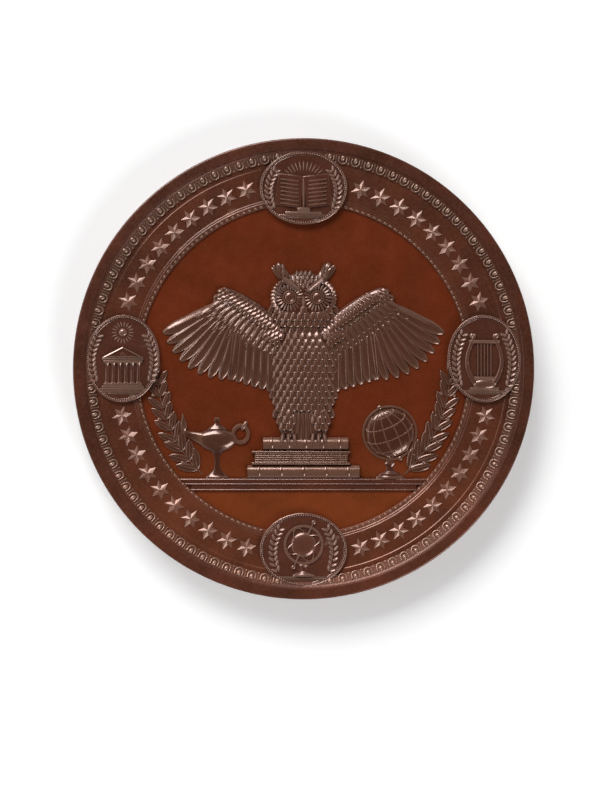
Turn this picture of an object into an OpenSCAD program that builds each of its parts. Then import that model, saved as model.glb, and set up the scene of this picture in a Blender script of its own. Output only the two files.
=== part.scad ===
// Struck bronze prize medallion, lying on its plain reverse with the obverse up.
// Millimetres. The origin is the middle of the flat reverse.
// +Y is the top of the design and +Z points out of the obverse.
// The whole medallion is one piece of metal: each module below is a raised or sunk form struck in it.

/* [Disc] */
// Diameter across the rim
medal_d = 76.2; // [74:0.1:90]
// Thickness at the rim
rim_t = 6.4; // [5.6:0.1:8]
// Width of the plain rim
rim_w = 1.8; // [1.5:0.1:3]
// Chamfer at the outer corners of the rim
edge_chamfer = 0.35; // [0.2:0.05:0.6]
// Depth of the central field below the rim
field_depth = 1.4; // [1.3:0.05:1.8]
// Depth of the star band below the rim
band_depth = 0.95; // [0.8:0.05:1.1]
// Width of the raised rim on the reverse
back_rim_w = 3.2; // [2:0.1:6]
// Depth of the plain hollow in the reverse
back_hollow = 0.3; // [0.1:0.05:0.6]

/* [Borders] */
// Width of the egg and dart moulding inside the rim
moulding_w = 1.9; // [1.8:0.05:2.4]
// Height of the moulding's seat above the star band
moulding_rise = 0.35; // [0.25:0.05:0.5]
// Number of eggs round the full circle
egg_count = 102; // [90:1:104]
// Radius of one egg
egg_r = 0.64; // [0.5:0.01:0.7]
// Height of an egg above the moulding's seat
egg_h = 0.38; // [0.2:0.02:0.44]
// Length of the dart between two eggs
dart_l = 1.2; // [1:0.05:1.4]
// Width of the dart between two eggs
dart_w = 0.6; // [0.35:0.05:0.7]
// Height of the dart
dart_h = 0.3; // [0.2:0.05:0.4]
// Width of the star band, with the flat fillet at its outer edge
band_w = 5.75; // [5:0.05:6.5]
// Width of the fillet between the moulding and the stars
fillet_w = 0.7; // [0.4:0.05:0.9]
// Height of the fillet above the star band
fillet_h = 0.12; // [0.08:0.02:0.2]
// Width of a fine raised line
line_w = 0.34; // [0.25:0.01:0.45]
// Height of a fine raised line
line_h = 0.14; // [0.1:0.01:0.25]
// Distance between the two lines round the central field
line_pitch = 0.44; // [0.4:0.01:0.6]
// Width of the border between the star band and the central field
border_w = 1.45; // [1.3:0.05:2]

/* [Stars] */
// Diameter over the points of a star
star_d = 3.5; // [2.4:0.05:3.6]
// Diameter at the inner corners of a star
star_waist_d = 1.65; // [1:0.05:1.8]
// Height of a star above its band
star_h = 0.4; // [0.3:0.02:0.6]
// Gap between the points of neighbouring stars
star_gap = 0.05; // [0.02:0.01:0.4]

/* [Roundels] */
// Length of an oval roundel along the band
roundel_l = 14.4; // [12:0.1:15]
// Width of an oval roundel across the band
roundel_w = 12.1; // [11:0.1:12.5]
// Height of a roundel's plate above the star band
roundel_h = 0.4; // [0.35:0.05:0.5]
// Width of a roundel's raised rim
roundel_rim_w = 0.5; // [0.3:0.05:0.8]
// Height of that rim above the plate
roundel_rim_h = 0.3; // [0.2:0.05:0.4]
// Height of an emblem above the plate
emblem_h = 0.5; // [0.4:0.05:0.6]
// Angle by which the two side roundels stand above the level line
side_lift = 3.2; // [0:0.1:5]

/* [Ledge and books] */
// Distance of the ledge's top edge below the centre
ledge_drop = 18.2; // [17.5:0.1:19]
// Width of the ledge from its top edge to its bottom edge
ledge_w = 1.65; // [1.2:0.05:2.2]
// Height of the ledge above the field
ledge_h = 0.7; // [0.5:0.05:0.9]
// Length of the lowest book
book_l = 18.5; // [16:0.1:20]
// Thickness of one book
book_t = 2.3; // [2:0.05:2.6]
// Height of a book above the field
book_h = 0.95; // [0.8:0.05:1.15]
// Thickness of a book's cover board
board_t = 0.3; // [0.2:0.02:0.45]

/* [Owl] */
// Height of the owl's body, from the top book to the neck
owl_body_l = 19.6; // [17:0.1:21]
// Width of the body
owl_body_w = 12; // [10:0.1:13]
// Height of the body above the field
owl_body_h = 1.25; // [1:0.05:1.35]
// Length of the head
owl_head_l = 10; // [9:0.1:11]
// Width of the head
owl_head_w = 11; // [9.5:0.1:12]
// Height of the head above the field
owl_head_h = 1.05; // [0.9:0.05:1.1]
// Radius of one disc of the face
face_disc_r = 2.5; // [2:0.05:2.7]
// Radius of an eye
eye_r = 0.9; // [0.7:0.05:1]
// Length of the longest wing feather
feather_l = 13.4; // [11:0.1:14]
// Width of a wing feather
feather_w = 2.6; // [2:0.05:3]
// Height of a wing feather above the field
feather_h = 0.55; // [0.4:0.05:0.7]
// Number of outer feathers on a wing
outer_feathers = 8; // [6:1:10]
// Number of inner feathers on a wing
inner_feathers = 6; // [5:1:8]

/* [Lamp, globe and laurel] */
// Width of the lamp's bowl
lamp_w = 7.4; // [6:0.1:8]
// Height of the lamp from its foot to its lid
lamp_l = 10.4; // [9:0.1:11]
// Diameter of the globe
globe_d = 8.4; // [6.5:0.1:9]
// Height of the globe's stand
globe_stand_l = 3.2; // [2.6:0.1:4]
// Height of the lamp and the globe above the field
side_piece_h = 0.95; // [0.8:0.05:1.15]
// Length of a laurel leaf
leaf_l = 3.5; // [2.8:0.1:4]
// Width of a laurel leaf
leaf_w = 1.25; // [0.9:0.05:1.5]
// Height of a laurel leaf above the field
leaf_h = 0.45; // [0.3:0.05:0.6]
// Number of leaf pairs on one laurel branch
leaf_pairs = 9; // [6:1:11]
// Gap between the laurel's stem and the border round the field
laurel_gap = 3; // [2.6:0.1:4]

/* [Hidden] */

bronze = [0.33, 0.17, 0.11];
root_t = 0.06;
side_form = 8;
whole_turn = 360;
star_points = 6;
face_rise = 0.06;
eye_rise = 0.28;
beak_rise = 0.25;
toe_rise = 0.2;
rim_slope_w = 0.35;
fillet_slope_w = 0.1;
ground_share = 0.73;
ground_w = 0.4;
emblem_share = 0.72;
sprig_pairs = 5;
sprig_leaf_l = 1.7;
sprig_leaf_w = 0.75;
roundel_facets = 48;
star_counts = [9, 9, 10, 10];

medal_r = medal_d / 2;
rim_in_r = medal_r - rim_w;
moulding_in_r = rim_in_r - moulding_w;
band_in_r = moulding_in_r - band_w;
field_r = band_in_r - border_w;
field_z = rim_t - field_depth;
band_z = rim_t - band_depth;
seat_z = band_z + moulding_rise;
fillet_in_r = moulding_in_r - fillet_w;
border_line_r = band_in_r - line_w / 2;
plate_z = band_z + roundel_h;

star_r = star_d / 2;
star_circle_r = (fillet_in_r - fillet_slope_w + band_in_r) / 2;
star_step = 2 * asin((star_d + star_gap) / 2 / star_circle_r);
roundel_circle_r = rim_in_r - line_w - roundel_w / 2;
roundel_angles = [90, 180 - side_lift, 270, whole_turn + side_lift];
egg_circle_r = (rim_in_r - rim_slope_w + moulding_in_r) / 2;
roundel_share = (egg_circle_r - roundel_circle_r) / (roundel_w / 2);
covered_half = asin((roundel_l / 2 * sqrt(1 - pow(roundel_share, 2)) + egg_r) / egg_circle_r);

ledge_half = sqrt(pow(field_r, 2) - pow(ledge_drop, 2));
book_count = 3;
perch_y = book_count * book_t - ledge_drop;
neck_y = perch_y + owl_body_l;
side_piece_x = (book_l / 2 + ledge_half) / 2 + 0.4;

// The columns of every table of sections: along the form, across it, and up from the field, each as a share.
ALONG = 0;
ACROSS = 1;
UP = 2;

leaf_sections = [
    [0, 0.12, 0.45],
    [0.3, 0.8, 0.9],
    [0.62, 1, 1],
    [1, 0.06, 0.4]
];
dart_sections = [
    [0, 0.7, 1],
    [0.25, 1, 1],
    [1, 0.1, 0.4]
];
feather_sections = [
    [0, 0.45, 0.7],
    [0.5, 0.95, 1],
    [0.86, 0.9, 0.9],
    [1, 0.2, 0.5]
];
body_sections = [
    [0, 0.42, 0.5],
    [0.1, 0.66, 0.8],
    [0.3, 0.9, 0.95],
    [0.55, 1, 1],
    [0.8, 0.94, 0.95],
    [1, 0.7, 0.8]
];
head_sections = [
    [0, 0.55, 0.85],
    [0.15, 0.85, 0.95],
    [0.45, 1, 1],
    [0.75, 0.92, 0.95],
    [0.93, 0.62, 0.75],
    [1, 0.3, 0.45]
];
book_sections = [
    [0, 1, 1],
    [1, 1, 1]
];
bowl_sections = [
    [0, 0.5, 0.7],
    [0.08, 0.46, 0.65],
    [0.16, 0.16, 0.5],
    [0.4, 0.14, 0.5],
    [0.47, 0.5, 0.75],
    [0.6, 0.95, 1],
    [0.7, 1, 1],
    [0.8, 0.7, 0.85],
    [0.88, 0.24, 0.6],
    [0.94, 0.26, 0.6],
    [1, 0.08, 0.4]
];
spout_sections = [
    [0, 1, 1],
    [0.6, 0.62, 0.8],
    [0.85, 0.6, 0.8],
    [1, 0.85, 0.85]
];
flame_sections = [
    [0, 0.4, 0.6],
    [0.3, 1, 1],
    [0.65, 0.6, 0.8],
    [1, 0.08, 0.4]
];
stand_sections = [
    [0, 1, 0.8],
    [0.18, 0.9, 0.75],
    [0.3, 0.3, 0.55],
    [0.7, 0.25, 0.55],
    [1, 0.6, 0.7]
];
page_sections = [
    [0, 0.94, 0.5],
    [0.35, 1, 1],
    [0.75, 0.98, 0.8],
    [1, 0.9, 0.4]
];
wing_arm_sections = [
    [0, 0.8, 0.9],
    [0.45, 0.9, 0.9],
    [0.82, 1, 1],
    [0.96, 0.7, 0.85],
    [1, 0.4, 0.6]
];
ball_steps = 8;
ball_sections = [
    for (k = [0 : ball_steps])
        let (turn = 8 + (180 - 16) * k / ball_steps)
        [(1 - cos(turn)) / 2, sin(turn), sin(turn)]
];

// One section of a raised form: an arch over the field that starts and ends below it, inside the metal.
function arch(section, length, width, height, bend, sides) = [
    for (k = [0 : sides])
        let (turn = 180 * k / sides)
        [
            bend * pow(section[ALONG], 2) - section[ACROSS] * width / 2 * cos(turn),
            section[ALONG] * length,
            (section[UP] * height + root_t) * sin(turn) - root_t
        ]
];

// A form raised from the field along +Y, lofted through arches.
module raised_form(length, width, height, sections, sides = side_form, bend = 0) {
    ring = sides + 1;
    last = (len(sections) - 1) * ring;
    points = [for (s = sections) each arch(s, length, width, height, bend, sides)];
    walls = [
        for (i = [0 : len(sections) - 2], k = [0 : sides])
            let (a = i * ring + k, b = i * ring + (k + 1) % ring)
            each [[a, a + ring, b + ring], [a, b + ring, b]]
    ];
    caps = [[for (k = [0 : sides]) k], [for (k = [sides : -1 : 0]) last + k]];
    polyhedron(points, concat(walls, caps));
}

// A form placed with its foot at a point of the design and its length along a direction.
module planted(place, direction) translate([place[0], place[1], 0]) rotate(direction - 90) children();

// The same form on the left and on the right of the design's middle line.
module both_sides() {
    children();
    mirror([1, 0, 0]) children();
}

// A ridge that runs round the medallion.
module round_line(radius, base) {
    rotate_extrude($fn = 180)
        polygon([
            [radius - line_w / 2, base - root_t],
            [radius + line_w / 2, base - root_t],
            [radius + line_w / 2, base],
            [radius + line_w / 4, base + line_h],
            [radius - line_w / 4, base + line_h],
            [radius - line_w / 2, base]
        ]);
}

// The turned blank: plain rim, moulding seat, fillet, star band, sunk field and hollow reverse.
module disc() {
    back_in_r = medal_r - back_rim_w;
    rotate_extrude($fn = 180)
        polygon([
            [0, back_hollow],
            [back_in_r - back_hollow, back_hollow],
            [back_in_r, 0],
            [medal_r - edge_chamfer, 0],
            [medal_r, edge_chamfer],
            [medal_r, rim_t - edge_chamfer],
            [medal_r - edge_chamfer, rim_t],
            [rim_in_r, rim_t],
            [rim_in_r - rim_slope_w, seat_z],
            [moulding_in_r + fillet_slope_w, seat_z],
            [moulding_in_r, band_z + fillet_h],
            [fillet_in_r, band_z + fillet_h],
            [fillet_in_r - fillet_slope_w, band_z],
            [band_in_r - border_w / 2, band_z],
            [field_r, field_z],
            [0, field_z]
        ]);
}

// The egg and dart moulding, left out under the roundels.
module egg_and_dart() {
    step = whole_turn / egg_count;
    for (i = [0 : egg_count - 1])
        let (turn = (i + 0.5) * step)
        if (is_clear(turn))
            rotate(turn) {
                translate([egg_circle_r, 0, seat_z + egg_h - egg_r]) sphere(r = egg_r, $fn = 24);
                rotate(step / 2)
                    translate([egg_circle_r + dart_l / 2, 0, seat_z])
                    rotate(90)
                    raised_form(dart_l, dart_w, dart_h, dart_sections, 2);
            }
}

// Whether an angle round the medallion is clear of the four roundels.
function is_clear(turn) =
    min([for (a = roundel_angles) abs((turn - a + 540) % whole_turn - 180)]) > covered_half;

// One faceted six-pointed star, its first point along +X.
module star() {
    corners = [
        for (k = [0 : 2 * star_points - 1])
            let (r = k % 2 == 0 ? star_r : star_waist_d / 2, turn = 180 * k / star_points)
            [r * cos(turn), r * sin(turn), -root_t]
    ];
    count = len(corners);
    polyhedron(
        concat(corners, [[0, 0, star_h]]),
        concat(
            [for (k = [0 : count - 1]) [k, count, (k + 1) % count]],
            [[for (k = [0 : count - 1]) k]]
        )
    );
}

// Four groups of stars, each centred between two roundels.
module star_ring() {
    middles = [
        (roundel_angles[3] - whole_turn + roundel_angles[0]) / 2,
        (roundel_angles[0] + roundel_angles[1]) / 2,
        (roundel_angles[1] + roundel_angles[2]) / 2,
        (roundel_angles[2] + roundel_angles[3]) / 2
    ];
    for (group = [0 : len(star_counts) - 1], i = [0 : star_counts[group] - 1])
        rotate(middles[group] + (i - (star_counts[group] - 1) / 2) * star_step)
            translate([star_circle_r, 0, band_z])
            star();
}

// An upright oval prism, from a base height to a top height.
module oval(length, width, base, top) {
    translate([0, 0, base])
        linear_extrude(top - base)
        polygon([
            for (k = [0 : roundel_facets - 1])
                let (turn = whole_turn * k / roundel_facets)
                [length / 2 * cos(turn), width / 2 * sin(turn)]
        ]);
}

// A roundel's plate with its raised rim and its ground line. Its long side lies along X.
module roundel_plate() {
    rim = 2 * roundel_rim_w;
    difference() {
        oval(roundel_l, roundel_w, field_z - root_t, plate_z + roundel_rim_h);
        oval(roundel_l - rim, roundel_w - rim, plate_z, rim_t);
    }
}

// The ground that an emblem stands on, in a roundel of the given upright size. Its top edge is at the origin.
module emblem_ground(width) {
    half = width / 2 * sqrt(1 - pow(ground_share, 2)) - roundel_rim_w / 2;
    translate([-half, -ground_w, -root_t]) cube([2 * half, ground_w, root_t + emblem_h / 2]);
}

// Two laurel sprigs that climb beside an emblem.
module sprigs(reach, height) {
    both_sides()
        for (i = [0 : sprig_pairs - 1], side = [-1, 1])
            let (s = i / (sprig_pairs - 1))
            planted([reach + 0.8 * sin(180 * s), 0.4 + height * s], 56 + 72 * s + side * 36)
                raised_form(sprig_leaf_l, sprig_leaf_w, emblem_h / 2, leaf_sections, 2);
}

// An open book on a low stand.
module book_emblem(size) {
    both_sides()
        planted([0, size * 0.4], 7)
        raised_form(size * 0.5, size * 0.58, emblem_h, page_sections);
    planted([0, -0.2], 90) raised_form(size * 0.18, size * 0.5, emblem_h * 0.6, book_sections, 4);
}

// A small temple front.
module temple_emblem(size) {
    columns = 4;
    bay = size * 0.24;
    step_l = size * 0.12;
    shaft_l = size * 0.48;
    beam_y = step_l + shaft_l - 0.2;
    translate([-size * 0.48, -0.1, -root_t]) cube([size * 0.96, step_l + 0.1, root_t + emblem_h * 0.6]);
    for (i = [0 : columns - 1])
        planted([(i - (columns - 1) / 2) * bay, step_l - 0.1], 90)
            raised_form(shaft_l, size * 0.12, emblem_h * 0.8, book_sections, 6);
    translate([-size * 0.46, beam_y, -root_t])
        cube([size * 0.92, size * 0.12, root_t + emblem_h * 0.7]);
    translate([0, beam_y + size * 0.11, -root_t])
        linear_extrude(root_t + emblem_h * 0.6)
        polygon([[-size * 0.5, 0], [size * 0.5, 0], [0, size * 0.24]]);
}

// A lyre.
module lyre_emblem(size) {
    both_sides() {
        planted([size * 0.1, size * 0.04], 20)
            raised_form(size * 0.32, size * 0.14, emblem_h * 0.8, page_sections, 6);
        planted([size * 0.36, size * 0.1], 98)
            raised_form(size * 0.92, size * 0.13, emblem_h * 0.8, page_sections, 6, bend = -size * 0.1);
    }
    translate([-size * 0.28, size * 0.84, -root_t]) cube([size * 0.56, size * 0.08, root_t + emblem_h * 0.7]);
    planted([0, 0], 90) raised_form(size * 0.86, size * 0.2, emblem_h * 0.5, page_sections, 4);
}

// A ringed sphere on a small foot.
module sphere_emblem(size) {
    planted([0, 0], 90) raised_form(size * 0.3, size * 0.4, emblem_h * 0.7, stand_sections, 6);
    planted([0, size * 0.35], 90) raised_form(size * 0.5, size * 0.5, emblem_h * 0.9, ball_sections);
    planted([-size * 0.19, size * 0.17], 66)
        raised_form(size * 0.96, size * 0.07, emblem_h, book_sections, 4);
    translate([0, size * 0.6, 0])
        rotate_extrude($fn = 40)
        translate([size * 0.33, -root_t])
        square([size * 0.05, root_t + emblem_h * 0.6]);
}

// The four roundels, each with its own emblem. All emblems stand upright.
module roundels() {
    for (k = [0 : len(roundel_angles) - 1])
        let (a = roundel_angles[k], upright = k % 2 == 0)
        translate([roundel_circle_r * cos(a), roundel_circle_r * sin(a), 0]) {
            across = upright ? roundel_l : roundel_w;
            tall = upright ? roundel_w : roundel_l;
            size = min(across, tall) * emblem_share;
            rotate(a - 90) roundel_plate();
            translate([0, -ground_share * tall / 2, plate_z]) {
                emblem_ground(across);
                if (k == 0) book_emblem(size);
                if (k == 1) temple_emblem(size);
                if (k == 2) sphere_emblem(size);
                if (k == 3) lyre_emblem(size);
                if (k != 1) sprigs(across * 0.32, tall * 0.5);
            }
        }
}

// The stepped ledge across the field, cut off at the border.
module ledge() {
    intersection() {
        translate([0, 0, -root_t]) cylinder(r = field_r + border_w / 4, h = root_t + ledge_h, $fn = 180);
        union() {
            translate([-medal_r, -ledge_drop - ledge_w, -root_t])
                cube([medal_d, ledge_w, root_t + ledge_h * 0.6]);
            translate([-medal_r, -ledge_drop - ledge_w * 0.62, -root_t])
                cube([medal_d, ledge_w * 0.62, root_t + ledge_h * 0.8]);
            translate([-medal_r, -ledge_drop - ledge_w * 0.25, -root_t])
                cube([medal_d, ledge_w * 0.25, root_t + ledge_h]);
        }
    }
}

// A closed book lying with its rounded spine to the front, foot at the middle of its lower edge.
module book(length) {
    translate([-length / 2, book_t / 2, 0])
        rotate(-90)
        raised_form(length, book_t - board_t, book_h, book_sections, 6);
    for (y = [0, book_t - board_t])
        translate([-length / 2, y, -root_t]) cube([length, board_t, root_t + book_h * 0.72]);
}

// Three books on the ledge, the shorter ones above.
module book_stack() {
    shares = [1, 0.88, 0.76];
    shifts = [0, -0.4, 0.35];
    for (i = [0 : book_count - 1])
        translate([shifts[i], i * book_t - ledge_drop, 0]) book(book_l * shares[i]);
}

// One wing, spread to the right: outer feathers fan from the wrist, inner ones hang from the arm.
module wing() {
    shoulder = [owl_body_w * 0.36, neck_y - 2.6];
    wrist = [owl_body_w * 1.06, neck_y + 3.4];
    for (i = [0 : outer_feathers - 1])
        let (s = i / (outer_feathers - 1))
        planted(wrist - [s * 1.6, s * 0.7], -30 - 52 * s)
            raised_form(feather_l * (0.94 + 0.06 * sin(180 * s)), feather_w, feather_h, feather_sections, 2,
                bend = 0.8);
    for (i = [1 : inner_feathers])
        let (s = i / inner_feathers)
        planted(wrist + (shoulder - wrist) * s - [1, 0.6], -84 - 8 * s)
            raised_form(feather_l * (0.98 - 0.2 * s), feather_w, feather_h, feather_sections, 2, bend = 0.5);
    planted(shoulder - [1, 0.8], atan2(wrist[1] - shoulder[1], wrist[0] - shoulder[0]))
        raised_form(norm(wrist - shoulder) + 2.4, 4.4, feather_h * 1.7, wing_arm_sections);
}

// The owl, standing on the top book with its wings spread.
module owl() {
    eye_x = face_disc_r * 0.93;
    eye_y = neck_y + owl_head_l * 0.36;
    both_sides() {
        wing();
        planted([owl_head_w * 0.27, neck_y + owl_head_l * 0.62], 66)
            raised_form(owl_head_l * 0.46, owl_head_w * 0.22, owl_head_h * 0.8, leaf_sections, 4);
        translate([eye_x, eye_y, -root_t])
            cylinder(r = face_disc_r, h = root_t + owl_head_h + face_rise, $fn = 48);
        translate([eye_x, eye_y, owl_head_h + face_rise + eye_rise - eye_r]) sphere(r = eye_r, $fn = 24);
        planted([owl_body_w * 0.21, perch_y - 0.5], 90)
            raised_form(owl_body_l * 0.24, owl_body_w * 0.36, owl_body_h * 0.95, head_sections);
        for (toe = [-1 : 1])
            planted([owl_body_w * 0.21 + toe * 0.95, perch_y + 0.5], 270 + toe * 9)
                raised_form(2.3, 0.85, book_h + toe_rise, leaf_sections, 4);
    }
    planted([0, perch_y + 0.6], 90) raised_form(owl_body_l, owl_body_w, owl_body_h, body_sections);
    planted([0, neck_y - 1.4], 90) raised_form(owl_head_l, owl_head_w, owl_head_h, head_sections);
    planted([0, eye_y + 0.9], 270) raised_form(3.1, 1.3, owl_head_h + beak_rise, leaf_sections, 4);
}

// An oil lamp on a foot, with its spout and flame to the left and its ring handle to the right.
module lamp() {
    bowl_y = lamp_l * 0.66;
    raised_form(lamp_l, lamp_w, side_piece_h, bowl_sections);
    planted([-lamp_w * 0.25, bowl_y - 0.2], 162)
        raised_form(lamp_w * 0.5, lamp_l * 0.24, side_piece_h * 0.85, spout_sections, 6);
    planted([-lamp_w * 0.7, bowl_y + 0.75], 96)
        raised_form(lamp_l * 0.36, lamp_l * 0.17, side_piece_h * 0.8, flame_sections, 4);
    translate([lamp_w * 0.6, bowl_y + 0.7, 0])
        rotate_extrude($fn = 40)
        translate([lamp_w * 0.17, side_piece_h * 0.2])
        square([lamp_w * 0.08, side_piece_h * 0.9], center = true);
}

// A globe on a turned stand.
module globe() {
    raised_form(globe_stand_l + 0.6, globe_d * 0.62, side_piece_h * 0.9, stand_sections);
    translate([0, globe_stand_l, 0]) raised_form(globe_d, globe_d, side_piece_h, ball_sections);
}

// A laurel branch that climbs beside the border, from the ledge up the left side.
module laurel() {
    stem_r = field_r - laurel_gap;
    first = 180 + asin((ledge_drop - 1.5) / stem_r);
    step = (leaf_l * 0.56) / stem_r * 180 / PI;
    for (i = [0 : leaf_pairs])
        let (turn = first - i * step, place = stem_r * [cos(turn), sin(turn)])
        for (side = i == leaf_pairs ? [0] : [-1, 1])
            planted(place, turn - 90 + side * 34)
                raised_form(leaf_l, leaf_w, leaf_h, leaf_sections, 2);
}

// The whole medallion.
module medal() {
    color(bronze) {
        disc();
        round_line(border_line_r, band_z);
        round_line(border_line_r - line_pitch, band_z);
        egg_and_dart();
        star_ring();
        roundels();
        translate([0, 0, field_z]) {
            ledge();
            book_stack();
            owl();
            translate([-side_piece_x, -ledge_drop, 0]) lamp();
            translate([side_piece_x, -ledge_drop, 0]) globe();
            both_sides() laurel();
        }
    }
}

medal();
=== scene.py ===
"""Struck bronze prize medallion, lying on its plain reverse on white and seen from straight above.
Sizes are in millimetres here and reach Blender through MM."""
import math

import bpy
from mathutils import Matrix, Vector


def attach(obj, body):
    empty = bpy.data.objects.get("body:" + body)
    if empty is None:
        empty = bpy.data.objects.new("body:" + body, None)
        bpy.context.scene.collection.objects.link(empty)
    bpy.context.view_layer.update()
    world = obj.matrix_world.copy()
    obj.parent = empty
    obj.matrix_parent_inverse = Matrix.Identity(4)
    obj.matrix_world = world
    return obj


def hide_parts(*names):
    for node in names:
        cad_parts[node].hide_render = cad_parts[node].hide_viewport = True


MM = 0.001

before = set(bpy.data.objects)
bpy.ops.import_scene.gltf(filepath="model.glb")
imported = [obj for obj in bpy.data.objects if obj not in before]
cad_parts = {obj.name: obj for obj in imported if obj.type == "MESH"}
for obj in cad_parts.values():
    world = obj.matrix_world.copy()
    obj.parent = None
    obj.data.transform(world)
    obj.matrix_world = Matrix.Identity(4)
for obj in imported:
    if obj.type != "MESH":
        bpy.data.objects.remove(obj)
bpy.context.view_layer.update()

# The blank: radii from the middle, heights from the reverse.
MEDAL_R = 38.1
RIM_T = 6.4
TOP_CORNER_R = 0.28
TOP_CORNER_STEPS = 5
RIM_IN_R = 36.3
MOULDING_IN_R = 34.4
FILLET_IN_R = 33.7
FILLET_SLOPE_W = 0.105
BAND_IN_R = 28.65
FIELD_R = 27.2
SEAT_OUT_Z = 6.22
SEAT_IN_Z = 5.62
FILLET_H = 0.056
BAND_Z = 5.45
BEAD_SEAT_R = 27.95
BEAD_SEAT_IN_R = 27.3
BEAD_SEAT_DROP = 0.2
FIELD_Z = 5.0
BACK_HOLLOW = 0.3
BACK_RIM_W = 3.2
LIP_R = 36.0
LIP_H = 0.05
LIP_STEP_W = 0.14
BORDER_LINE_R = 28.46
BORDER_LINE_PITCH = 0.36
BORDER_LINE_H = 0.036
BORDER_LINE_W = 0.17
BORDER_LINE_TOP_SHARE = 0.15
TURN_STEPS = 240
# The worn corner between reverse and edge: how far in from the edge, and how high.
BACK_CORNER = ((0.5, 0.0), (0.25, 0.06), (0.06, 0.22), (0.0, 0.45))

EGG_COUNT = 102
EGG_CIRCLE_R = 35.22
EGG_MARGIN = 0.55
BEAD_COUNT = 172
BEAD_CIRCLE_R = 27.58
BEAD_MARGIN = -0.4
STAR_R = 1.7
STAR_WAIST_R = 0.84
STAR_H = 0.3
STAR_FOOT_T = 0.4
STAR_SINK = 0.12
STAR_CIRCLE_R = 31.05
STAR_STEP = 6.42
STAR_COUNTS = (9, 9, 10, 10)
RELIEF_SHARE = 0.6

ROUNDEL_L = 14.4
ROUNDEL_W = 12.1
ROUNDEL_CIRCLE_R = RIM_IN_R - 0.34 - ROUNDEL_W / 2
SIDE_LIFT = 3.2
ROUNDEL_ANGLES = (90, 180 - SIDE_LIFT, 270, 360 + SIDE_LIFT)
PLATE_Z = BAND_Z + 0.4
PLATE_T = 1.5
PLATE_FRAME_H = 0.22
PLATE_BEADS = 112
PLATE_BEAD_IN = 0.32
GROUND_SHARE = 0.73
EMBLEM_SHARE = 0.72
# A plate's top from its edge inward: the width of each step and how far it rises. First come the outer
# rim, the channel for the beads and the inner rim, then the flat face in a few rings.
PLATE_STEPS = (
    (0.05, 0.03), (0.05, 0.0), (0.06, -0.04), (0.2, 0.0), (0.05, -0.18), (0.07, 0.0), (0.05, 0.03),
    (0.02, 0.0), (0.05, -0.03), (0.3, 0.0), (1.2, 0.0), (1.2, 0.0), (1.2, 0.0),
)

LEDGE_DROP = 18.2
LEDGE_W = 1.95
LEDGE_TREAD_W = 0.9
LEDGE_TREAD_H = 0.8
LEDGE_STEP_H = 0.6
LEDGE_RIDGE_W = 0.26
BOOK_T = 2.3
BOOK_L = 18.5
BOOK_COUNT = 3
PERCH_Y = BOOK_COUNT * BOOK_T - LEDGE_DROP
NECK_Y = PERCH_Y + 19.6
EYE_X = 2.3
EYE_Y = NECK_Y + 3.5

LAMP_X = -14.3
GLOBE_X = 14.3

ALONG_X = (0, math.pi / 2, 0)
MERGE_WITHIN = 0.0005
# How nearly a face has to point straight up or endwise to be taken, 1 being exactly.
NEARLY = 0.99
# How far a surface has to face up for a feather to be laid on it, 1 being level.
LEAST_LEVEL = 0.5
# Where the two tips of a leaf begin, as a share of its length from its middle.
LEAF_TIP = 0.4


# Work in object mode and edit mode

def rest():
    """Leaves edit mode with nothing selected."""
    if bpy.context.mode != "OBJECT":
        bpy.ops.object.mode_set(mode="OBJECT")
    bpy.ops.object.select_all(action="DESELECT")


def take(piece):
    """Takes one piece in hand, with nothing else selected."""
    rest()
    bpy.context.view_layer.objects.active = piece
    piece.select_set(True)


def finish(name):
    """Names the piece in hand and puts its place into its mesh."""
    piece = bpy.context.active_object
    bpy.ops.object.transform_apply(location=True, rotation=True, scale=True)
    piece.name = name
    piece.data.name = name
    piece.select_set(False)
    return piece


def added(primitive, **settings):
    """A primitive added with nothing else selected."""
    rest()
    primitive(**settings)
    return finish("form")


def edit(piece, select_mode, parts, test):
    """Opens a piece with only those of its points or faces selected that pass the test."""
    take(piece)
    bpy.context.tool_settings.mesh_select_mode = select_mode
    for part in (*piece.data.vertices, *piece.data.edges, *piece.data.polygons):
        part.select = False
    for part in parts:
        part.select = test(part)
    bpy.ops.object.mode_set(mode="EDIT")


def edit_points(piece, test=lambda co: True):
    """Opens a piece with the points selected whose place passes the test, or with all of them."""
    edit(piece, (True, False, False), piece.data.vertices, lambda point: test(point.co))


def edit_faces(piece, test):
    """Opens a piece with the faces selected whose direction passes the test."""
    edit(piece, (False, False, True), piece.data.polygons, lambda face: test(face.normal))


def up(direction):
    return direction.z > NEARLY


def endwise(direction):
    return abs(direction.x) > NEARLY


def grow(x, y, z):
    """Scales the selection about its own middle."""
    bpy.ops.transform.resize(value=(x, y, z))


def shift(x, y, z):
    """Moves the selection."""
    bpy.ops.transform.translate(value=(x * MM, y * MM, z * MM))


def inset(width, rise=0.0):
    """Steps the selected faces inward by a width and up by a rise."""
    bpy.ops.mesh.inset(thickness=width * MM, depth=rise * MM)


def bevel(width):
    """Rounds the selected edges."""
    bpy.ops.mesh.bevel(offset=width * MM, segments=2, affect="EDGES")


def outward(piece, smooth_angle=35):
    """Merges doubles, turns the faces outward and smooths all but the sharp edges."""
    take(piece)
    bpy.ops.object.mode_set(mode="EDIT")
    bpy.ops.mesh.select_all(action="SELECT")
    bpy.ops.mesh.remove_doubles(threshold=MERGE_WITHIN * MM)
    bpy.ops.mesh.normals_make_consistent(inside=False)
    bpy.ops.object.mode_set(mode="OBJECT")
    bpy.ops.object.shade_smooth_by_angle(angle=math.radians(smooth_angle))
    piece.select_set(False)
    return piece


def joined(pieces, name):
    """Several pieces as one, under a name."""
    rest()
    for piece in pieces:
        piece.select_set(True)
    bpy.context.view_layer.objects.active = pieces[0]
    if len(pieces) > 1:
        bpy.ops.object.join()
    return finish(name)


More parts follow.
